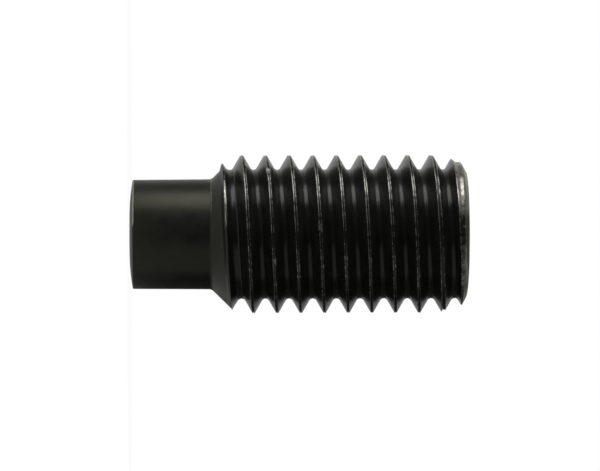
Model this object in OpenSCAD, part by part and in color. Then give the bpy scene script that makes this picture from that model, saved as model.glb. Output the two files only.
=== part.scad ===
// Grub set screw with a hexagon socket and a long dog point, metric thread.
// It stands on the flat of the dog point, with the socket end up.

/* [Turned blank] */
// Length of the screw, from the flat of the dog to the socket end
length = 25; // [18:0.5:60]
// Diameter of the dog point
dog_d = 8.2; // [7:0.05:8.5]
// Length of the dog point, up to the shoulder
dog_length = 6; // [3:0.5:8]
// Diameter of the flat in the middle of the dog's end
tip_flat_d = 4.4; // [3:0.1:7]
// Height of the rounding from that flat out to the dog's side
tip_crown = 0.24; // [0.1:0.02:0.6]
// Fillet where the dog meets the shoulder
dog_fillet = 0.4; // [0.1:0.05:0.6]
// Angle of the shoulder from the axis
shoulder_angle = 45; // [35:1:60]
// Width of the flat ring round the socket's mouth
end_face_width = 0.5; // [0.3:0.05:1.1]
// Height of the end chamfer
end_chamfer = 0.55; // [0.3:0.05:1]
// Depth below the crests at which the end chamfer starts
end_chamfer_drop = 0.57; // [0.2:0.01:0.9]
// Height over which the last crests come down to the end chamfer
end_taper = 2; // [0.5:0.25:4]

/* [Thread] */
// Major diameter, over the crests
thread_d = 11.84; // [11.7:0.01:11.97]
// Pitch
pitch = 1.75; // [1.25:0.25:2]
// Width of the flat left on the crests
crest_flat = 0.12; // [0.06:0.01:0.22]
// Radius of the rounded root between two flanks
root_round = 0.3; // [0.2:0.01:0.32]
// Height over the flat of the dog at which a crest passes the -X side
crest_height = 8.238; // [7:0.01:10]
// Flat facets round one turn of the thread
turn_steps = 48; // [24:8:64]

/* [Lip on the shoulder] */
// Height of the lip that the rolling pressed up beside the first groove
lip_height = 0.52; // [0.2:0.02:0.6]
// Distance of the lip from the middle of the first crest
lip_offset = 0.22; // [0.1:0.01:0.35]
// Where the lip starts, as a share of the shoulder's height
lip_from = 0.1; // [0:0.05:0.4]
// Where the lip ends, as a share of the shoulder's height
lip_to = 0.85; // [0.6:0.05:1]

/* [Socket] */
// Width across the flats of the hexagon
socket_af = 6.05; // [5:0.01:6.1]
// Depth of the hexagon
socket_depth = 8; // [4:0.5:12]
// Diameter of the drilled hole under the hexagon
pilot_d = 5.8; // [4.5:0.1:5.9]
// Diameter of the countersunk mouth
mouth_d = 7.4; // [7.1:0.1:8]
// Included angle of the mouth and of the drill point
cone_angle = 120; // [90:1:120]

/* [Hidden] */
$fn = 96;
steel_black = "#26272a";
crown_steps = 4;
fillet_steps = 3;
overcut = 0.1;

dog_r = dog_d / 2;
thread_r = thread_d / 2;
shoulder_top = dog_length + (thread_r - dog_r) / tan(shoulder_angle);
chamfer_start = length - end_chamfer;
taper_start = chamfer_start - end_taper;

// Section of the groove between two crests: 60 degree flanks and a rounded root. It reaches
// out past the lip on the shoulder, so that the groove cuts the lip too. The first number is
// along the screw from the middle of the groove, the second is the radius.
flank_angle = 60;
root_r = thread_r - (pitch - crest_flat) / 2 * tan(flank_angle) + root_round;
groove_overcut = pitch / 20;
groove_half = (pitch - crest_flat) / 2 + groove_overcut / tan(flank_angle);
groove_top = thread_r + groove_overcut + lip_height;
groove_section = [
    [-groove_half, groove_top],
    [-groove_half, thread_r + groove_overcut],
    for (a = [-1:2 / 3:1])
        [root_round * sin(a * flank_angle), root_r + root_round * (1 - cos(a * flank_angle))],
    [groove_half, thread_r + groove_overcut],
    [groove_half, groove_top],
];

// Steps of the groove, counted from the -X side at the height of crest_height.
// It starts in the air beside the dog and leaves through the socket end.
groove_first = floor((dog_length - crest_height + pitch / 2) / pitch * turn_steps);
groove_last = ceil((length - crest_height + pitch) / pitch * turn_steps);

// The lip leans on the first groove: steep towards the dog, and sloping into the groove.
// The first number is along the screw from its tip, the second is a share of its height.
lip_section = [[0.28, 0], [0.08, 0.88], [0, 1], [-0.11, 0.72], [-0.17, 0]];
lip_seat = 0.02;
lip_root = 0.15;
shoulder_height = shoulder_top - dog_length;
lip_first = floor((dog_length + lip_from * shoulder_height - lip_offset - crest_height)
    / pitch * turn_steps);
lip_last = ceil((dog_length + lip_to * shoulder_height - lip_offset - crest_height)
    / pitch * turn_steps);

function on_helix(p, s) = let (a = 180 + 360 * s / turn_steps)
    [p.y * cos(a), p.y * sin(a), crest_height - pitch / 2 + pitch * s / turn_steps + p.x];

module blank() {
    drop = dog_fillet * tan(shoulder_angle / 2);
    rotate_extrude()
        polygon([
            [0, 0],
            for (k = [0:crown_steps])
                let (t = k / crown_steps)
                    [tip_flat_d / 2 + (dog_r - tip_flat_d / 2) * t, tip_crown * t * t],
            for (k = [0:fillet_steps])
                let (a = shoulder_angle * k / fillet_steps)
                    [dog_r + dog_fillet * (1 - cos(a)), dog_length - drop + dog_fillet * sin(a)],
            [thread_r, shoulder_top],
            [thread_r, taper_start],
            [thread_r - end_chamfer_drop, chamfer_start],
            [mouth_d / 2 + end_face_width, length],
            [0, length],
        ]);
}

// A point of the lip at step s: u is its distance from the tip along the screw, and rise its
// height over the shoulder.
function on_shoulder(u, rise, s) =
    let (z = crest_height + pitch * s / turn_steps + lip_offset + u)
        on_helix([pitch / 2 + lip_offset + u, dog_r + (z - dog_length) * tan(shoulder_angle) + rise], s);

// A solid through a row of rings that all have as many points.
module through_rings(rings) {
    sides = len(rings[0]);
    steps = len(rings) - 1;
    walls = [
        for (s = [0:steps - 1])
            for (i = [0:sides - 1])
                let (a = s * sides + i, b = s * sides + (i + 1) % sides)
                    each [[a, b + sides, b], [a, a + sides, b + sides]]
    ];
    start_cap = [for (i = [0:sides - 1]) i];
    end_cap = [for (i = [sides - 1:-1:0]) steps * sides + i];
    polyhedron([for (ring = rings) each ring], concat(walls, [start_cap, end_cap]), convexity = 12);
}

module thread_groove() {
    through_rings([
        for (s = [groove_first:groove_last])
            [for (p = groove_section) on_helix(p, s)]
    ]);
}

module rolled_lip() {
    left = lip_section[len(lip_section) - 1].x;
    right = lip_section[0].x;
    through_rings([
        for (s = [lip_first:lip_last])
            let (height = lip_height * sin(180 * (s - lip_first) / (lip_last - lip_first)))
                [
                    on_shoulder(left, -lip_root, s),
                    on_shoulder(right, -lip_root, s),
                    for (p = lip_section) on_shoulder(p.x, height * p.y - lip_seat, s),
                ]
    ]);
}

module hex_socket() {
    socket_floor = length - socket_depth;
    point_height = pilot_d / 2 / tan(cone_angle / 2);
    mouth_height = (mouth_d - pilot_d) / 2 / tan(cone_angle / 2);
    translate([0, 0, socket_floor])
        cylinder(d = socket_af / cos(30), h = socket_depth + overcut, $fn = 6);
    translate([0, 0, socket_floor - point_height])
        cylinder(d1 = 0, d2 = pilot_d, h = point_height);
    translate([0, 0, length - mouth_height])
        cylinder(d1 = pilot_d, d2 = mouth_d, h = mouth_height);
}

module set_screw() {
    color(steel_black)
        difference() {
            union() {
                blank();
                rolled_lip();
            }
            thread_groove();
            hex_socket();
        }
}

set_screw();
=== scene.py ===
import math

import bpy
import numpy as np
from mathutils import Matrix, Vector


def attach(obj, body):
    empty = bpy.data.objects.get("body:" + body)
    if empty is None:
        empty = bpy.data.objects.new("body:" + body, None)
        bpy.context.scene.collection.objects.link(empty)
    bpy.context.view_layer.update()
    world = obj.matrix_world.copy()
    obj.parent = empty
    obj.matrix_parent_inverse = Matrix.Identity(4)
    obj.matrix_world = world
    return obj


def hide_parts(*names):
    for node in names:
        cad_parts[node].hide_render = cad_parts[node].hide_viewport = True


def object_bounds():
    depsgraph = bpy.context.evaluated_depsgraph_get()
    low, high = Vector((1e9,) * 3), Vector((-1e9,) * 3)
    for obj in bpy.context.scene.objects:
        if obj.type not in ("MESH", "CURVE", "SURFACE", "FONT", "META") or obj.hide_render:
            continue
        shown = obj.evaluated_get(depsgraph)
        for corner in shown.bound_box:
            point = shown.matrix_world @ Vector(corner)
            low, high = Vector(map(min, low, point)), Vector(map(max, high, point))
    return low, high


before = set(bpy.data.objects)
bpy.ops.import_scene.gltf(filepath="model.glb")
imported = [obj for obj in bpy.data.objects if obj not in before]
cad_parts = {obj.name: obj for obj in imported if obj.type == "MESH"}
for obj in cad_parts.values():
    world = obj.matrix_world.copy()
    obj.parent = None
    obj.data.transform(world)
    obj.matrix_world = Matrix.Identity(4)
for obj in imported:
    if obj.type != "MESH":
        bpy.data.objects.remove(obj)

# The view of the photograph: the screw's side, with the dog point to the left and the socket
# end to the right. The screw stands on its dog point, so the camera is turned a quarter turn
# about its line of sight, and -X is up in the picture. It is almost level with the dog's end.
mm = 0.001
cad_low, cad_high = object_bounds()
# Lengths and heights are in millimetres, here and below.
camera_distance = 350.0
sensor_width = 36.0
lens_length = 283.9
nearest_seen = 10.0
# The picture's middle is at the first height, and the camera itself at the second. The screw
# lies a little off the picture's middle, and a little askew.
view_height = 12.60
camera_level = 3.3
axis_offset = 0.104
axis_tilt = math.radians(0.12)
side_turn = math.asin((view_height - camera_level) / camera_distance)

upward = Vector((-1, 0, 0))
along = Vector((0, -math.sin(side_turn), math.cos(side_turn)))
picture_right = along * math.cos(axis_tilt) - upward * math.sin(axis_tilt)
picture_up = along * math.sin(axis_tilt) + upward * math.cos(axis_tilt)
picture_back = picture_right.cross(picture_up)
camera_turn = Matrix((picture_right, picture_up, picture_back)).transposed().to_4x4()
view_centre = Vector((axis_offset, 0, view_height))
camera_place = (view_centre + picture_back * camera_distance) * mm
camera_data = bpy.data.cameras.new("camera")
camera_data.sensor_width = sensor_width
camera_data.lens = lens_length
camera_data.clip_start = nearest_seen * mm
camera = bpy.data.objects.new("camera", camera_data)
camera.matrix_world = Matrix.Translation(camera_place) @ camera_turn
bpy.context.scene.collection.objects.link(camera)
bpy.context.scene.camera = camera
bpy.context.scene.view_settings.view_transform = "Standard"

# The turned blank: alloy steel bar, turned down to the dog point with a 45 degree shoulder,
# and cut off with a chamfer at the socket end. Heights are counted from the flat of the dog.
# Columns of points run round the screw, counted from the +X side.
length = (cad_high.z - cad_low.z) / mm
# The radius measured on the photograph is this much under that of the solids.
undersize = 0.04
thread_r = cad_high.x / mm - undersize
columns = 168
column_angle = 2 * math.pi * np.arange(columns) / columns
# This is 1 on the -X side, up in the picture and towards the key lamp, and -1 on the +X side. Marks below
# use it to paint more bare steel where the light falls, as painted highlights, and on the rim as a
# painted reflection. Wear is 0 where the finish is whole and 1 where the steel is bare.
key_lamp_side = -np.cos(column_angle)

dog_length = 6.05
dog_tip_r = 4.03
dog_r = 4.07
tip_flat_r = 1.2
tip_crown = 0.23
crown_power = 2.2
crown_wear = 0.3
dog_edge = 0.06
dog_fillet = 0.5
shoulder_slope = 0.985
# The rolled part lies between these two heights; below and above it the blank is round.
low_join = 6.25
high_join = 24.9
# The chamfer was turned slightly off the thread's centre, towards +X.
chamfer_offset = 0.05
chamfer_z = [24.10, 24.44, 24.54, 24.62, 24.70, 24.78, 24.86, 24.92, 24.97, 25.00]
chamfer_r = [5.60, 5.38, 5.26, 5.12, 4.97, 4.83, 4.68, 4.49, 4.28, 4.10]

points = []
wear_and_highlight = []
lathe = []
faces = []
socket_faces = []


def add_ring(height, radius, wear_and_glint=0.0):
    """A closed ring of points, one in each column. All three numbers may change round it."""
    first = len(points)
    heights = np.broadcast_to(height, columns)
    radii = np.broadcast_to(radius, columns)
    wear_and_glint_values = np.broadcast_to(wear_and_glint, columns)
    for angle, z, r, w in zip(column_angle, heights, radii, wear_and_glint_values):
        points.append((r * math.cos(angle), r * math.sin(angle), z))
        wear_and_highlight.append(w)
        lathe.append(1.0)
    return list(range(first, first + columns))


def join_rings(lower, upper, found=faces):
    """Faces between two rings. Seen from outside, the second ring is above the first."""
    for i in range(columns):
        j = (i + 1) % columns
        found.append((lower[i], lower[j], upper[j], upper[i]))


def close_ring(ring, height, outward, found=faces):
    """Triangles from a ring to a point on the axis. outward is +1 if they face up, else -1."""
    points.append((0.0, 0.0, height))
    wear_and_highlight.append(0.0)
    lathe.append(1.0)
    centre = len(points) - 1
    for i in range(columns):
        j = (i + 1) % columns
        found.append((ring[i], ring[j], centre) if outward > 0 else (ring[j], ring[i], centre))


def chamfer_radius(z):
    """Radius of the chamfer at a height."""
    return np.interp(z, chamfer_z, chamfer_r)


# From the flat in the middle of the dog's end out over its crown.
dog_rings = [add_ring(0.0, tip_flat_r)]
close_ring(dog_rings[0], 0.0, -1)
crown_width = dog_tip_r - dog_edge - tip_flat_r
crown_shares = np.linspace(0.1, 1, 12)
for share in crown_shares:
    crown_z = tip_crown * share ** crown_power
    dog_rings.append(add_ring(crown_z, tip_flat_r + crown_width * share, crown_wear * share ** 3))

# Round the edge. Its bare steel is mostly a painted highlight: a little all round, and much more on the
# -X side, where the key lamp's light would catch it. Each ring has its height above the crown and its
# distance in from the dog's side, both as shares of dog_edge, and its wear, painted as bare steel.
edge_steps = [
    (0.2, 0.45, 1.4),
    (0.55, 0.15, 1.4),
    (1.1, 0.0, 1.4),
    (1.8, 0.0, 0.9),
    (2.6, 0.0, 0.0),
]
edge_side = np.interp(key_lamp_side, [0.05, 0.25], [0.1, 1.0])
for up, inward, wear_and_glint in edge_steps:
    edge_r = dog_tip_r - inward * dog_edge
    dog_rings.append(add_ring(tip_crown + up * dog_edge, edge_r, wear_and_glint * edge_side))

# Up the dog, which widens very slightly, and round the fillet into the shoulder.
side_heights = np.linspace(0.6, dog_length - 0.4, 12)
for z in side_heights:
    share = (z - tip_crown) / (dog_length - tip_crown)
    dog_rings.append(add_ring(z, dog_tip_r + (dog_r - dog_tip_r) * share))
fillet_drop = dog_fillet * math.tan(math.radians(45) / 2)
# A painted glint: bare steel on the fillet, only on the -X side, stands for the key lamp's reflection
# there.
fillet_glint = [0, 0, 0.2, 0.8, 0.5, 0, 0, 0]
fillet_side = np.interp(key_lamp_side, [0.0, 0.2, 0.45], [0.0, 0.45, 1.0])
fillet_angles = np.linspace(0, math.atan(shoulder_slope), len(fillet_glint))
for angle, wear_and_glint in zip(fillet_angles, fillet_glint):
    fillet_z = dog_length - fillet_drop + dog_fillet * math.sin(angle)
    fillet_r = dog_r + dog_fillet * (1 - math.cos(angle))
    dog_rings.append(add_ring(fillet_z, fillet_r, wear_and_glint * fillet_side))
for lower, upper in zip(dog_rings, dog_rings[1:]):
    join_rings(lower, upper)
low_ring = add_ring(low_join, dog_r + (low_join - dog_length) * shoulder_slope)
join_rings(dog_rings[-1], low_ring)

# The thread: M12 x 1.75, rolled between dies. The steel pressed out of the grooves rises along
# their flanks in two lips, which meet over each crest in a fine dark seam. At the shoulder it
# makes a lip on the cone, and near the chamfer there is too little of it to fill the crests.
pitch = 1.75
crest_height = 8.29
flank_slope = math.tan(math.radians(60))
crest_half = 0.06
root_arc = 0.30
root_r = thread_r - flank_slope * (pitch / 2 - crest_half) + root_arc
# Turns are counted from the crest that passes the -X side at crest_height.
first_turn = -1.75
last_turn = 10.05

# One lip on a crest, from the middle of the seam out to the flank: how far out, how far below
# the lip's top, and how worn.
crest_edge = 0.11
seam_half = 0.035
seam_depth = 0.025
lip_r = thread_r - 0.045
lip_u = [0.0, 0.01, 0.02, seam_half, 0.052, 0.068, 0.085, crest_edge]
lip_drop = [0.022, 0.018, 0.008, 0.002, 0.0, 0.010, 0.032, flank_slope * (crest_edge - crest_half)]
lip_wear = [0.0, 0.15, 0.6, 1.0, 1.0, 0.9, 0.55, 0.05]
# The seam's sides end this far under the lips' tops.
seam_side_drop = 0.003

# Near the chamfer the tops of the two lips and the bottom of the seam sink, each as listed, and
# over widening_turns the lips grow wider by the share lip_widening.
left_lip_turn = [8.1, 8.5, 9.0, 9.5, 10.0]
left_lip_r = [lip_r, 5.76, 5.56, 5.28, 5.14]
right_lip_turn = [7.9, 8.5, 9.0, 9.5, 10.0]
right_lip_r = [lip_r, 5.64, 5.33, 5.10, 5.00]
valley_turn = [8.0, 8.5, 9.0, 10.0]
valley_r = [lip_r - seam_depth, 5.60, 5.32, 5.12]
lip_widening = 1.2
widening_turns = (8.0, 9.0)

# Nicks in the crests: place along the thread in turns, depth, and how bright they are. The lip
# on the right and the seam take a share of each nick.
nicks = [
    (1.10, 0.11, 1.0),
    (1.31, 0.04, 0.7),
    (3.24, 0.06, 0.8),
    (5.62, 0.07, 0.7),
    (6.83, 0.05, 0.7),
    (2.71, 0.08, 0.9),
]
nick_length = 0.012
nick_right_share = 0.7
nick_seam_share = 0.6

# The lip on the shoulder starts on the far side and fades out on the +X side: its height and
# its tip's place for each turn, and its section from the dog's side to the groove.
ridge_turn = [-1.32, -1.15, -1.0, -0.9, -0.85, -0.8, -0.7, -0.6, -0.5]
ridge_height = [0.0, 0.30, 0.43, 0.40, 0.37, 0.31, 0.18, 0.08, 0.0]
ridge_tip = [0.20, 0.26, 0.30, 0.16, 0.10, 0.06, 0.05, 0.05, 0.05]
ridge_du = [-0.22, -0.14, -0.09, -0.05, -0.02, 0.0, 0.12, 0.30]
ridge_dr = [0.0, 0.12, 0.45, 0.85, 0.97, 1.0, 0.72, 0.0]
# Beside the lip the groove's flank stands back, by this much along the screw. Further down it
# comes back to its place, between these two distances from the crest.
spread_turn = [-1.32, -1.15, -1.0, -0.85, -0.8, -0.77, -0.7, -0.6, -0.45, -0.35]
groove_spread = [0.0, 0.07, 0.10, 0.14, 0.17, 0.21, 0.20, 0.12, 0.04, 0.0]
spread_full = 0.4
spread_gone = 0.8

# Rows of points run along the thread, close together on the crest. On the shoulder they lie at
# equal distances, and over fitted_turns they change to the rows that fit the lips.
flank_rows = 8
half_rows = [0.0, 0.01, 0.02, 0.032, 0.045, 0.058, 0.072, 0.09, crest_edge]
root_half = root_arc * math.cos(math.radians(30))
flank_top = np.linspace(crest_edge, pitch / 2 - root_half, flank_rows + 1)[1:]
root_rows = pitch / 2 - root_arc * np.sin(np.radians([45, 30, 15, 0]))
half_pattern = np.concatenate([half_rows, flank_top, root_rows])
row_pattern = np.concatenate([-half_pattern[::-1], half_pattern[1:-1]])
rows = len(row_pattern)
even_pattern = np.linspace(-pitch / 2, pitch / 2, rows + 1)[:-1]
fitted_turns = (-0.55, -0.30)

step_count = int(round((last_turn - first_turn) * columns))
turn = first_turn + np.arange(step_count + 1) / columns
step_column = (np.arange(step_count + 1) + int(round((first_turn + 0.5) * columns))) % columns
step_angle = column_angle[step_column]


def smooth_step(x, low, high):
    """0 up to low, 1 from high on, and a smooth change between them."""
    t = np.clip((x - low) / (high - low), 0, 1)
    return t * t * (3 - 2 * t)


def wander(seed, spacing, amount):
    """A smooth random value for each step along the thread, changing over spacing turns."""
    knots = int((last_turn - first_turn) / spacing) + 2
    values = np.random.default_rng(seed).normal(0, amount, knots)
    where = np.arange(knots) * spacing + first_turn
    return np.interp(turn, where, values)


# What changes along the thread, at each step: the chamfer's place, the tops of both lips, the
# seam between them, the nicks and the lip on the shoulder.
lip_waver = 0.006
seam_waver = 0.012
ridge_waver = 0.03
off_centre = -chamfer_offset * np.cos(2 * np.pi * turn)
left_top = np.interp(turn, left_lip_turn, left_lip_r) + wander(1, 0.05, lip_waver) - lip_waver
right_top = np.interp(turn, right_lip_turn, right_lip_r) + wander(2, 0.04, lip_waver) - lip_waver
valley = np.interp(turn, valley_turn, valley_r) + wander(3, 0.02, seam_waver)
lip_width = 1 + lip_widening * smooth_step(turn, *widening_turns)
nicked = np.zeros(len(turn))
for nick_turn, nick_depth, nick_bright in nicks:
    bite = np.exp(-((turn - nick_turn) / nick_length) ** 2)
    left_top = left_top - nick_depth * bite
    right_top = right_top - nick_depth * bite * nick_right_share
    valley = valley - nick_depth * bite * nick_seam_share
    nicked = np.maximum(nicked, nick_bright * bite)
ridge_rise = np.interp(turn, ridge_turn, ridge_height) * (1 + wander(4, 0.03, ridge_waver))
tip_u = np.interp(turn, ridge_turn, ridge_tip)
spread_here = np.interp(turn, spread_turn, groove_spread)

# Where the crests aren't filled, the lips stand further apart and their rows go with them.
even_share = 1 - smooth_step(turn, *fitted_turns)
row_u = row_pattern + even_share[:, None] * (even_pattern - row_pattern)
left_out = (thread_r - left_top) / flank_slope
right_out = (thread_r - right_top) / flank_slope
flank_width = pitch / 2 - root_half - crest_edge
out_share = np.clip(np.abs(row_pattern) / seam_half, 0, 1)
out_share = out_share * np.clip((pitch / 2 - np.abs(row_pattern)) / flank_width, 0, 1)
lip_out = np.where(row_pattern < 0, -left_out[:, None], right_out[:, None])
row_u = row_u + lip_out * out_share * (1 - even_share[:, None])


def thread_radius(u):
    """Radius of the rolled thread at u from the middle of the crest, for every step and row."""
    spread_fade = np.clip((spread_gone - u) / (spread_gone - spread_full), 0, 1)
    spread = spread_here[:, None] * (u > 0) * spread_fade
    width = np.minimum(np.abs(u) + spread, pitch / 2)
    out = np.where(u < 0, left_out[:, None], right_out[:, None])
    top = np.where(u < 0, left_top[:, None], right_top[:, None])
    # Between two lips that stand apart, the seam is as much wider. p is the place on one lip.
    inside = width < seam_half + out
    p = np.where(inside, width / (1 + out / seam_half), width - out)
    edge_drop = np.interp(p / lip_width[:, None], lip_u, lip_drop)
    crest = top - edge_drop
    seam_side = top - seam_side_drop - valley[:, None]
    sunk = valley[:, None] + seam_side * np.clip(p / seam_half, 0, 1)
    crest = np.where(inside, sunk, crest)
    flank = thread_r - flank_slope * (width - crest_half)
    crest = np.where(p > crest_edge, flank, np.minimum(crest, flank + (p < crest_half)))
    from_root = np.clip(pitch / 2 - width, 0, root_half)
    root = root_r + root_arc - np.sqrt(root_arc ** 2 - from_root ** 2)
    return np.maximum(crest, root)


def blank_radius(z, u):
    """Radius that the blank and its lip on the shoulder leave, for every step and row."""
    cone = dog_r + (z - dog_length) * shoulder_slope
    lip = np.interp(u - tip_u[:, None], ridge_du, ridge_dr)
    cone = cone + ridge_rise[:, None] * lip
    end = chamfer_radius(z) + off_centre[:, None]
    end = np.where(z > chamfer_z[0], end, 2 * thread_r)
    return np.minimum(cone, end)


row_z = crest_height + pitch * turn[:, None] + row_u
rolled = thread_radius(row_u)
left = blank_radius(row_z, row_u)
# The nearest row moves to each line where the thread runs out into the blank.
gap = rolled - left
snapped = np.zeros(row_z.shape, bool)
for row in range(rows - 1):
    crossing = gap[:, row] * gap[:, row + 1] < 0
    share = gap[:, row] / np.where(crossing, gap[:, row] - gap[:, row + 1], 1)
    meet = row_u[:, row] + share * (row_u[:, row + 1] - row_u[:, row])
    for chosen, near in ((row, share < 0.5), (row + 1, share >= 0.5)):
        moved = crossing & near & ~snapped[:, chosen]
        row_u[moved, chosen] = meet[moved]
        snapped[moved, chosen] = True
row_z = crest_height + pitch * turn[:, None] + row_u
rolled = thread_radius(row_u)
left = blank_radius(row_z, row_u)
row_r = np.minimum(rolled, left)

# Bare steel shows on the lips, less on the right one and in the seam, and in the nicks. How much depends
# on the side, by places counted from -1 on the +X side to 1 on the -X side: more is painted on the -X
# side, where the key lamp's light falls, as a painted highlight, and less on the dim +X side. on_blank is
# where the turned blank shows, not the thread.
blank_margin = 0.001
seam_wear = 0.2
right_wear = 0.8
side_place = [-1, -0.25, 0, 0.25, 1]
side_wear_and_highlight = [0.6, 0.7, 0.58, 0.9, 1.0]
row_p = np.abs(row_u) - np.where(row_u < 0, left_out[:, None], right_out[:, None])
on_blank = rolled > left + blank_margin
step_side = key_lamp_side[step_column][:, None]
row_wear_and_highlight = np.where(row_p < 0, seam_wear, np.interp(row_p, lip_u, lip_wear))
row_wear_and_highlight = row_wear_and_highlight * np.where(row_u > 0, right_wear, 1)
row_wear_and_highlight = row_wear_and_highlight * np.interp(step_side, side_place, side_wear_and_highlight)
row_wear_and_highlight = np.maximum(row_wear_and_highlight, nicked[:, None] * (row_p < crest_edge))
row_wear_and_highlight[on_blank] = 0.0

# The lip on the shoulder is rubbed beside the line where the thread meets it, further onto the
# lip than into the groove.
ridge_worn_turn = [-1.3, -1.0, -0.9, -0.87, -0.8, -0.785, -0.77, -0.74, -0.5]
ridge_worn = [0.3, 0.45, 0.6, 0.9, 1.0, 1.0, 0.6, 0.2, 0.0]
rubbed_on_lip = 0.22
rubbed_in_groove = 0.06
rubbed_reach = 1.7
ridge_side = np.interp(turn, ridge_worn_turn, ridge_worn)[:, None]
ridge_width = np.where(rolled > left, rubbed_on_lip, rubbed_in_groove)
ridge_wear = np.clip(rubbed_reach - np.abs(rolled - left) / ridge_width, 0, 1) * ridge_side

# The unfilled crest beside the chamfer and the chamfer's edge are rubbed too.
end_place = [-0.6, -0.35, -0.1, 0.2, 0.36]
end_side_wear = [0.85, 0.75, 0.6, 0.5, 1.0]
end_worn_z = [24.0, 24.1, 24.4, 24.5, 24.7, 24.8, 24.86]
end_worn = [0.0, 1.0, 1.0, 0.8, 0.9, 0.9, 0.6]
end_crest_turns = (8.75, 8.95)
end_crest_half = 0.02
end_crest_wear = 0.85
end_side = np.interp(step_side, end_place, end_side_wear)
end_wear = smooth_step(turn, *end_crest_turns)[:, None] * (row_p < end_crest_half) * end_crest_wear
chamfer_wear = on_blank * np.interp(row_z, end_worn_z, end_worn)
row_wear_and_highlight = np.maximum(row_wear_and_highlight, ridge_wear)
row_wear_and_highlight = np.maximum(row_wear_and_highlight, np.maximum(end_wear, chamfer_wear) * end_side)
row_turned = on_blank * (1 - ridge_wear)

# The points of the thread. Those below and above the rolled part are the blank's own rings.
join_margin = 0.004
end_shift = chamfer_offset * np.cos(column_angle)
# The chamfer's top corner has some bare steel, more on the +X side, painted like the rim's: partly wear,
# partly a painted reflection.
corner_wear_and_reflection = 0.5 - 0.3 * key_lamp_side
high_ring = add_ring(high_join, chamfer_radius(high_join) + end_shift, corner_wear_and_reflection)
number = np.zeros((step_count + 1, rows), int)
for step in range(step_count + 1):
    angle = step_angle[step]
    for row in range(rows):
        z = row_z[step, row]
        if z <= low_join + join_margin:
            number[step, row] = low_ring[step_column[step]]
        elif z >= high_join - join_margin:
            number[step, row] = high_ring[step_column[step]]
        else:
            number[step, row] = len(points)
            r = row_r[step, row]
            points.append((r * math.cos(angle), r * math.sin(angle), z))
            wear_and_highlight.append(row_wear_and_highlight[step, row])
            lathe.append(row_turned[step, row])


def corner_at(step, row):
    """A point of the thread, and whether it lies on a run-out line.

    Past the last row comes the first row of the next turn, and past that the blank's ring.
    """
    if row < rows:
        return int(number[step, row]), snapped[step, row]
    if step + columns > step_count:
        return high_ring[step_column[step]], False
    return int(number[step + columns, 0]), snapped[step + columns, 0]


def add_face(corners, marks):
    """A face of the thread. One that a run-out line crosses is cut in two along it."""
    if len(corners) == 4 and marks[0] and marks[2]:
        faces.append((corners[0], corners[1], corners[2]))
        faces.append((corners[0], corners[2], corners[3]))
    elif len(corners) == 4 and marks[1] and marks[3]:
        faces.append((corners[0], corners[1], corners[3]))
        faces.append((corners[1], corners[2], corners[3]))
    elif len(corners) > 2:
        faces.append(tuple(corners))


for step in range(step_count):
    for row in range(rows):
        corners = []
        marks = []
        for s, w in ((step, row), (step + 1, row), (step + 1, row + 1), (step, row + 1)):
            corner, mark = corner_at(s, w)
            if corner not in corners:
                corners.append(corner)
                marks.append(mark)
        add_face(corners, marks)

# The socket end: the chamfer's rounded corner, the flat ring, the countersunk mouth, and a
# 6 mm hexagon broached down to a drilled hole. Its inside isn't seen in the photograph, and
# has the standard's sizes. The end was cut slightly out of square and is lowest at low_side.
end_tilt = 0.045
low_side = math.radians(300)
end_dip = end_tilt * (1 + np.cos(column_angle - low_side))
# The rim has a little bare steel all round, and much more on its +X side, which is a painted reflection
# of the pale surroundings below it.
rim_least = 0.1
rim_more = 1.3
rim_wear_and_reflection = rim_least + rim_more * np.clip(0.5 - key_lamp_side, 0, 1)
end_rings = [high_ring]
rim_z = [24.94, 24.96, 24.98, 25.0]
for z in rim_z:
    dip = end_dip * (z - high_join) / (length - high_join)
    end_rings.append(add_ring(z - dip, chamfer_radius(z) + end_shift, rim_wear_and_reflection))
mouth_r = 3.7
for share in (0.3, 0.7):
    radius = chamfer_r[-1] + (mouth_r - chamfer_r[-1]) * share
    end_rings.append(add_ring(length - end_dip, radius + (1 - share) * end_shift, rim_wear_and_reflection * (1 - share)))

# The mouth's edge is broken by this much, down and in. Its wear is given at the ring, inside
# the edge, and where the hexagon starts.
mouth_down = 0.012
mouth_in = 0.015
mouth_wear = (0.6, 0.4, 0.35)
end_rings.append(add_ring(length - end_dip, mouth_r, mouth_wear[0]))
for lower, upper in zip(end_rings, end_rings[1:]):
    join_rings(lower, upper)
hexagon_half = 3.025
socket_depth = 8.0
cone_slope = math.tan(math.radians(60))
pilot_r = 2.9
flat_angle = (column_angle % math.radians(60)) - math.radians(30)
hexagon_r = hexagon_half / np.cos(flat_angle)
mouth_z = length - (mouth_r - hexagon_r) / cone_slope
socket_rings = [end_rings[-1]]
socket_rings.append(add_ring(length - mouth_down - end_dip, mouth_r - mouth_in, mouth_wear[1]))
socket_rings.append(add_ring(mouth_z, hexagon_r, mouth_wear[2]))
socket_floor = length - socket_depth
wall_shares = np.linspace(0.02, 1, 10)
for share in wall_shares:
    z = mouth_z + (socket_floor - mouth_z) * share
    socket_rings.append(add_ring(z, hexagon_r))
socket_rings.append(add_ring(socket_floor, pilot_r))
for share in (0.25, 0.5, 0.75):
    drilled_z = socket_floor - pilot_r * share / cone_slope
    socket_rings.append(add_ring(drilled_z, pilot_r * (1 - share)))
for lower, upper in zip(socket_rings, socket_rings[1:]):
    join_rings(lower, upper, socket_faces)
close_ring(socket_rings[-1], socket_floor - pilot_r / cone_slope, 1, socket_faces)

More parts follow.
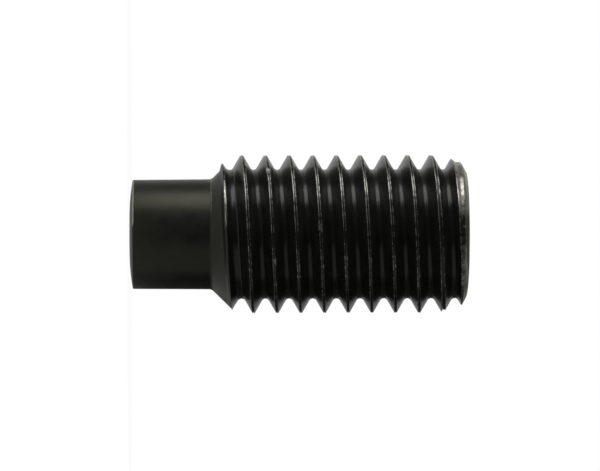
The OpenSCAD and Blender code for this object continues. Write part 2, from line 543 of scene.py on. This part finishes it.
# The whole screw is one mesh. Each point keeps how much bare steel it shows, from real wear and from
# painted highlights and reflections, and whether it was turned on the lathe or rolled. The socket's faces
# have a finish of their own.
sharp_angle = math.radians(38)
screw_mesh = bpy.data.meshes.new("screw")
screw_mesh.from_pydata((np.array(points) * mm).tolist(), [], faces + socket_faces)
for layer_name, values in (("wear_and_highlight", wear_and_highlight), ("lathe", lathe)):
    layer = screw_mesh.attributes.new(layer_name, "FLOAT", "POINT")
    layer.data.foreach_set("value", np.array(values, np.float32))
socket_mark = np.zeros(len(screw_mesh.polygons), np.int32)
socket_mark[len(faces):] = 1
screw_mesh.polygons.foreach_set("material_index", socket_mark)
screw_mesh.polygons.foreach_set("use_smooth", np.ones(len(screw_mesh.polygons), bool))
screw_mesh.set_sharp_from_angle(angle=sharp_angle)
screw_mesh.update()
screw = bpy.data.objects.new("screw", screw_mesh)
bpy.context.scene.collection.objects.link(screw)

# The finish: black oxide, a thin dark skin grown on the steel and lightly oiled. The rolled flanks are
# smooth and even, the turned faces keep their fine marks, and the skin is rubbed through to bright steel
# on the crests, the lip and the edges of both ends. Bare steel on the fillet is a painted glint, and the
# extra bare steel on the -X side of the crests and the dog's edge, and on the +X side of the socket end's
# rim, is painted highlight and painted reflection.


def new_group(name, inputs, outputs):
    """A shader node group with named inputs and outputs, and its entry and leave nodes."""
    group = bpy.data.node_groups.new(name, "ShaderNodeTree")
    for socket, kind, value in inputs:
        made = group.interface.new_socket(socket, in_out="INPUT", socket_type=kind)
        if value is not None:
            made.default_value = value
    for socket, kind in outputs:
        group.interface.new_socket(socket, in_out="OUTPUT", socket_type=kind)
    entry = group.nodes.new("NodeGroupInput")
    leave = group.nodes.new("NodeGroupOutput")
    return group, entry, leave


def add_noise(tree, vector, scale, detail=3.0, roughness=0.5):
    noise = tree.nodes.new("ShaderNodeTexNoise")
    noise.inputs["Scale"].default_value = scale
    noise.inputs["Detail"].default_value = detail
    noise.inputs["Roughness"].default_value = roughness
    tree.links.new(vector, noise.inputs["Vector"])
    return noise.outputs["Fac"]


def add_range(tree, value, low, high, to_low=0.0, to_high=1.0):
    change = tree.nodes.new("ShaderNodeMapRange")
    change.inputs["From Min"].default_value = low
    change.inputs["From Max"].default_value = high
    change.inputs["To Min"].default_value = to_low
    change.inputs["To Max"].default_value = to_high
    tree.links.new(value, change.inputs["Value"])
    return change.outputs["Result"]


def add_math(tree, operation, first, second=None):
    node = tree.nodes.new("ShaderNodeMath")
    node.operation = operation
    for socket, value in zip(node.inputs, (first, second)):
        if value is None:
            continue
        if isinstance(value, (int, float)):
            socket.default_value = value
        else:
            tree.links.new(value, socket)
    return node.outputs[0]


FLOAT = "NodeSocketFloat"
VECTOR = "NodeSocketVector"
# Noise scales are in waves per metre. Most of a noise's values lie between these two.
noise_low = 0.3
noise_high = 0.7

# Bare steel in patches, where the skin is rubbed through and where highlights are painted. The skin
# starts to go at the first wear and is gone at the second.
patch_scale = 2500.0
patch_strength = 0.35
bare_from = 0.45
bare_full = 0.95

rubbing_and_highlight, entry, leave = new_group(
    "rubbed_and_highlit_edge",
    [("Wear_and_highlight", FLOAT, 0.0), ("Place", VECTOR, None), ("Patchy", FLOAT, 1.0)],
    [("Mask", FLOAT)],
)
patches = add_noise(rubbing_and_highlight, entry.outputs["Place"], patch_scale, detail=4.0, roughness=0.6)
spots = add_range(rubbing_and_highlight, patches, noise_low, noise_high, -patch_strength, patch_strength)
spots = add_math(rubbing_and_highlight, "MULTIPLY", spots, entry.outputs["Patchy"])
summed = add_math(rubbing_and_highlight, "ADD", entry.outputs["Wear_and_highlight"], spots)
rubbing_and_highlight.links.new(add_range(rubbing_and_highlight, summed, bare_from, bare_full), leave.inputs["Mask"])

# The oxide's own grain, a coarse one for the colour and a fine one for the surface.
coarse_scale = 900.0
fine_scale = 9000.0

grain, entry, leave = new_group(
    "oxide_grain",
    [("Place", VECTOR, None)],
    [("Mottle", FLOAT), ("Height", FLOAT)],
)
coarse = add_noise(grain, entry.outputs["Place"], coarse_scale, detail=3.0, roughness=0.6)
fine = add_noise(grain, entry.outputs["Place"], fine_scale, detail=2.0, roughness=0.5)
grain.links.new(coarse, leave.inputs["Mottle"])
grain.links.new(fine, leave.inputs["Height"])

# Marks of the lathe tool: noise that changes with the tool's feed, out and up, and is drawn
# out to long streaks round the screw.
mark_scale = 12000.0
streak_scale = 7000.0
streak_low = -0.5
streak_high = 0.3
round_stretch = 0.03

marks, entry, leave = new_group(
    "turning_marks",
    [("Place", VECTOR, None)],
    [("Height", FLOAT), ("Streaks", FLOAT)],
)
parts = marks.nodes.new("ShaderNodeSeparateXYZ")
marks.links.new(entry.outputs["Place"], parts.inputs[0])
flat_place = marks.nodes.new("ShaderNodeCombineXYZ")
marks.links.new(parts.outputs["X"], flat_place.inputs["X"])
marks.links.new(parts.outputs["Y"], flat_place.inputs["Y"])
outward = marks.nodes.new("ShaderNodeVectorMath")
outward.operation = "LENGTH"
marks.links.new(flat_place.outputs[0], outward.inputs[0])
feed = add_math(marks, "ADD", outward.outputs["Value"], parts.outputs["Z"])
slow_x = add_math(marks, "MULTIPLY", parts.outputs["X"], round_stretch)
slow_y = add_math(marks, "MULTIPLY", parts.outputs["Y"], round_stretch)
lathe_place = marks.nodes.new("ShaderNodeCombineXYZ")
marks.links.new(slow_x, lathe_place.inputs["X"])
marks.links.new(slow_y, lathe_place.inputs["Y"])
marks.links.new(feed, lathe_place.inputs["Z"])
tool_marks = add_noise(marks, lathe_place.outputs[0], mark_scale, detail=2.0, roughness=0.6)
marks.links.new(tool_marks, leave.inputs["Height"])
streaks = add_noise(marks, lathe_place.outputs[0], streak_scale, detail=2.0, roughness=0.5)
streaks = add_range(marks, streaks, noise_low, noise_high, streak_low, streak_high)
marks.links.new(streaks, leave.inputs["Streaks"])

oxide_colour = (0.017, 0.018, 0.016, 1)
oxide_pale = (0.026, 0.027, 0.024, 1)
oxide_ior = 1.5
steel_colour = (0.52, 0.51, 0.45, 1)
steel_rough = 0.34
# The skin's reflections are warm, more so where it was turned.
rolled_tint = (1.0, 1.0, 0.94, 1)
turned_tint = (1.0, 1.0, 0.76, 1)
# On turned faces the rubbed places are less patchy.
turned_patchy = 0.25
grain_depth = 0.003


def add_mix(tree, factor, first, second):
    mix = tree.nodes.new("ShaderNodeMix")
    mix.data_type = "RGBA"
    tree.links.new(factor, mix.inputs["Factor"])
    for socket, value in zip((mix.inputs[6], mix.inputs[7]), (first, second)):
        if isinstance(value, tuple):
            socket.default_value = value
        else:
            tree.links.new(value, socket)
    return mix.outputs[2]


def add_group(tree, group, place):
    node = tree.nodes.new("ShaderNodeGroup")
    node.node_tree = group
    tree.links.new(place, node.inputs["Place"])
    return node


def oxide_material(name, rolled_rough, turned_rough, mark_depth):
    """Black oxide on steel: roughness of rolled and of turned faces, and depth of tool marks."""
    material = bpy.data.materials.new(name)
    material.use_nodes = True
    tree = material.node_tree
    shader = tree.nodes["Principled BSDF"]
    shader.inputs["IOR"].default_value = oxide_ior
    place = tree.nodes.new("ShaderNodeTexCoord").outputs["Object"]
    wear_and_glint = tree.nodes.new("ShaderNodeAttribute")
    wear_and_glint.attribute_name = "wear_and_highlight"
    turned = tree.nodes.new("ShaderNodeAttribute")
    turned.attribute_name = "lathe"
    tint = add_mix(tree, turned.outputs["Fac"], rolled_tint, turned_tint)
    tree.links.new(tint, shader.inputs["Specular Tint"])
    grains = add_group(tree, grain, place)
    lathe_marks = add_group(tree, marks, place)
    bare_patches = add_group(tree, rubbing_and_highlight, place)
    patchy = add_range(tree, turned.outputs["Fac"], 0, 1, 1.0, turned_patchy)
    tree.links.new(patchy, bare_patches.inputs["Patchy"])
    streaked = add_math(tree, "MULTIPLY", lathe_marks.outputs["Streaks"], turned.outputs["Fac"])
    tree.links.new(add_math(tree, "ADD", wear_and_glint.outputs["Fac"], streaked), bare_patches.inputs["Wear_and_highlight"])

    mottled = add_range(tree, grains.outputs["Mottle"], low=0.35, high=noise_high)
    skin = add_mix(tree, mottled, oxide_colour, oxide_pale)
    colour = add_mix(tree, bare_patches.outputs["Mask"], skin, steel_colour)
    tree.links.new(colour, shader.inputs["Base Color"])
    tree.links.new(bare_patches.outputs["Mask"], shader.inputs["Metallic"])
    base_rough = add_range(tree, turned.outputs["Fac"], 0, 1, rolled_rough, turned_rough)
    uneven = add_range(tree, grains.outputs["Mottle"], noise_low, noise_high, to_low=-0.03, to_high=0.04)
    skin_rough = add_math(tree, "ADD", base_rough, uneven)
    rough = tree.nodes.new("ShaderNodeMix")
    tree.links.new(bare_patches.outputs["Mask"], rough.inputs["Factor"])
    tree.links.new(skin_rough, rough.inputs[2])
    rough.inputs[3].default_value = steel_rough
    tree.links.new(rough.outputs[0], shader.inputs["Roughness"])
    fine_bump = tree.nodes.new("ShaderNodeBump")
    fine_bump.inputs["Distance"].default_value = grain_depth * mm
    tree.links.new(grains.outputs["Height"], fine_bump.inputs["Height"])
    mark_bump = tree.nodes.new("ShaderNodeBump")
    mark_bump.inputs["Distance"].default_value = mark_depth * mm
    mark_height = add_math(tree, "MULTIPLY", lathe_marks.outputs["Height"], turned.outputs["Fac"])
    tree.links.new(mark_height, mark_bump.inputs["Height"])
    tree.links.new(fine_bump.outputs["Normal"], mark_bump.inputs["Normal"])
    tree.links.new(mark_bump.outputs["Normal"], shader.inputs["Normal"])
    return material


outside_finish = oxide_material("black_oxide", rolled_rough=0.24, turned_rough=0.38, mark_depth=0.004)
socket_finish = oxide_material("black_oxide_socket", rolled_rough=0.4, turned_rough=0.4, mark_depth=0.001)
screw_mesh.materials.append(outside_finish)
screw_mesh.materials.append(socket_finish)
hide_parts("set_screw")
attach(screw, "root")

# The studio: a small pale floor under the dog point, a large soft lamp over the -X side, a
# weak one on the +X side, and white surroundings behind the screw.
floor_r = 20.0
floor_sides = 96
floor_colour = (0.8, 0.8, 0.8, 1)
# The screw sees this share of the floor's white, and the camera all of it but the shade.
floor_shine = 0.38
floor_shade = 0.04
floor_mesh = bpy.data.meshes.new("floor")
floor_round = np.linspace(0, 2 * math.pi, floor_sides, endpoint=False)
floor_points = [(floor_r * math.cos(a) * mm, floor_r * math.sin(a) * mm, 0.0) for a in floor_round]
floor_mesh.from_pydata(floor_points, [], [tuple(range(len(floor_points)))])
floor = bpy.data.objects.new("floor", floor_mesh)
bpy.context.scene.collection.objects.link(floor)


def pale_material(name, shade_share):
    """White to the camera but for a share of shade, and an even grey under the lamps."""
    material = bpy.data.materials.new(name)
    material.use_nodes = True
    tree = material.node_tree
    tree.nodes.remove(tree.nodes["Principled BSDF"])
    plain = tree.nodes.new("ShaderNodeBsdfDiffuse")
    plain.inputs["Color"].default_value = floor_colour
    white = tree.nodes.new("ShaderNodeEmission")
    path = tree.nodes.new("ShaderNodeLightPath")
    mixed = tree.nodes.new("ShaderNodeMixShader")
    share = add_math(tree, "MULTIPLY", path.outputs["Is Glossy Ray"], floor_shine)
    share = add_math(tree, "MAXIMUM", share, path.outputs["Is Camera Ray"])
    share = add_math(tree, "MULTIPLY", share, 1 - shade_share)
    tree.links.new(share, mixed.inputs["Fac"])
    tree.links.new(plain.outputs[0], mixed.inputs[1])
    tree.links.new(white.outputs[0], mixed.inputs[2])
    tree.links.new(mixed.outputs[0], tree.nodes["Material Output"].inputs["Surface"])
    return material


floor_mesh.materials.append(pale_material("pale_floor", floor_shade))
lamp_distance = 500.0


def add_lamp(name, from_axis, half_width, half_height, radiance):
    """A soft lamp facing the screw's middle. Angles are in degrees, from -Y towards -X."""
    distance = lamp_distance * mm
    data = bpy.data.lights.new(name, "AREA")
    data.shape = "RECTANGLE"
    data.size = 2 * distance * math.tan(math.radians(half_height))
    data.size_y = 2 * distance * math.tan(math.radians(half_width))
    data.energy = radiance * math.pi * data.size * data.size_y
    lamp = bpy.data.objects.new(name, data)
    way = Vector((-math.sin(math.radians(from_axis)), -math.cos(math.radians(from_axis)), 0))
    screw_axis = Vector((0, 0, 1))
    lamp_turn = Matrix((screw_axis, way.cross(screw_axis), way)).transposed().to_4x4()
    lamp_place = Vector((0, 0, view_height * mm)) + way * distance
    lamp.matrix_world = Matrix.Translation(lamp_place) @ lamp_turn
    bpy.context.scene.collection.objects.link(lamp)


add_lamp("key", from_axis=78, half_width=18, half_height=42, radiance=2.2)
add_lamp("fill", from_axis=-54, half_width=32, half_height=42, radiance=0.24)

# The room is white to the camera. In the screw it is dark but for a bright part behind it, on
# the -X side, and two weaker ones above and below.
room_colour = (1, 1, 1, 1)
room_dark = 0.022
behind_strength = 0.7
dim_side_share = 0.04
below_strength = 0.33
above_strength = 0.22
world = bpy.data.worlds.new("world")
bpy.context.scene.world = world
world.use_nodes = True
tree = world.node_tree
background = tree.nodes["Background"]
direction = tree.nodes.new("ShaderNodeTexCoord").outputs["Generated"]
ways = tree.nodes.new("ShaderNodeSeparateXYZ")
tree.links.new(direction, ways.inputs[0])
behind = add_range(tree, ways.outputs["Y"], low=0.55, high=0.97, to_high=behind_strength)
lit_side = add_range(tree, ways.outputs["X"], low=0.0, high=0.35, to_low=1.0, to_high=dim_side_share)
bright = add_math(tree, "MULTIPLY", behind, lit_side)
below = add_range(tree, ways.outputs["Z"], low=-0.35, high=-0.8, to_high=below_strength)
above = add_range(tree, ways.outputs["Z"], low=0.35, high=0.8, to_high=above_strength)
endways = add_math(tree, "MAXIMUM", below, above)
horizon = add_range(tree, ways.outputs["Y"], low=-0.6, high=0.1)
bright = add_math(tree, "MAXIMUM", bright, add_math(tree, "MULTIPLY", endways, horizon))
path = tree.nodes.new("ShaderNodeLightPath")
seen = add_math(tree, "MULTIPLY", path.outputs["Is Glossy Ray"], bright)
seen = add_math(tree, "MAXIMUM", seen, path.outputs["Is Transmission Ray"])
seen = add_math(tree, "MAXIMUM", seen, path.outputs["Is Camera Ray"])
room = add_range(tree, seen, 0, 1, room_dark, 1.0)
tree.links.new(room, background.inputs["Strength"])
background.inputs["Color"].default_value = room_colour
